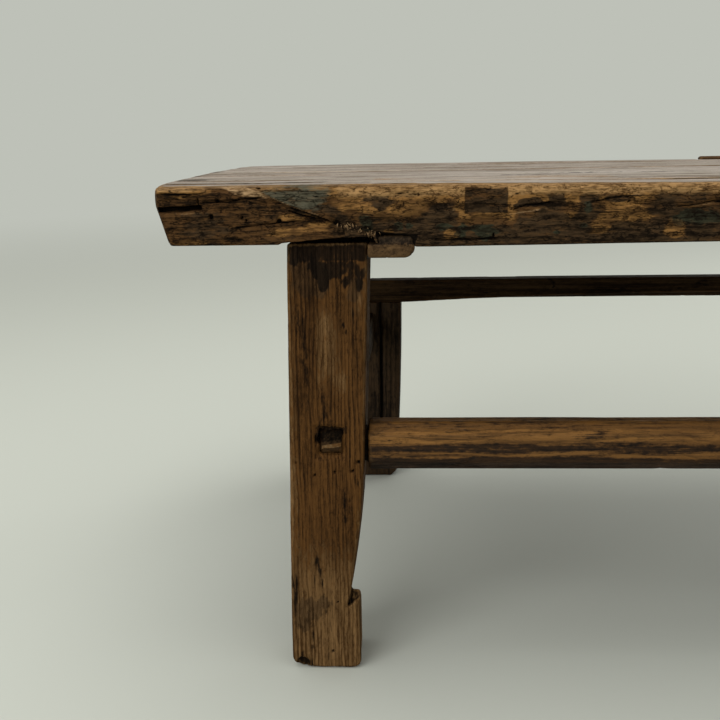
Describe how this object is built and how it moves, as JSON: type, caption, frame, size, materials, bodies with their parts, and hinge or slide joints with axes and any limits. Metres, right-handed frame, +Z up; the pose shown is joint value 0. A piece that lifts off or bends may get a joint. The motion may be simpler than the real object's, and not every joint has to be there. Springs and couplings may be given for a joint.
{
  "type": "kang table",
  "caption": "Low rustic wooden table: thick plank top on hoofed legs, held by sliding dovetail battens, a front stretcher, side stretchers and an arched rear rail.",
  "frame": {"origin": "on the floor, under the middle of the top", "axes": "+X along the table to the right as seen from the front, +Y from the front to the rear, +Z up"},
  "size_m": [1.21, 0.6, 0.403],
  "materials": {
    "top_wood": "weathered plank, bare and grey-brown above, worn paint and hacked wood on the edges",
    "patch_wood": "rough split wood",
    "bamboo": "split bamboo",
    "batten_wood": "dark rubbed wood",
    "frame_wood": "worn brown wood with open grain, rubbed bright on the arrises",
    "stretcher_wood": "hand-polished brown wood, dark below",
    "wedge_wood": "pale dry wood"
  },
  "bodies": {
    "root": {"top_board_front": "top_wood", "top_board_middle": "top_wood", "top_board_rear": "top_wood", "rear_edge_patch": "patch_wood", "board_dowels_front": "bamboo", "board_dowels_rear": "bamboo", "batten_left": "batten_wood", "batten_right": "batten_wood", "leg_front_left": "frame_wood", "leg_front_right": "frame_wood", "leg_rear_left": "frame_wood", "leg_rear_right": "frame_wood", "stretcher_front": "stretcher_wood", "rail_rear": "frame_wood", "stretcher_left": "frame_wood", "stretcher_right": "frame_wood", "tenon_wedges": "wedge_wood"}
  },
  "joints": []
}
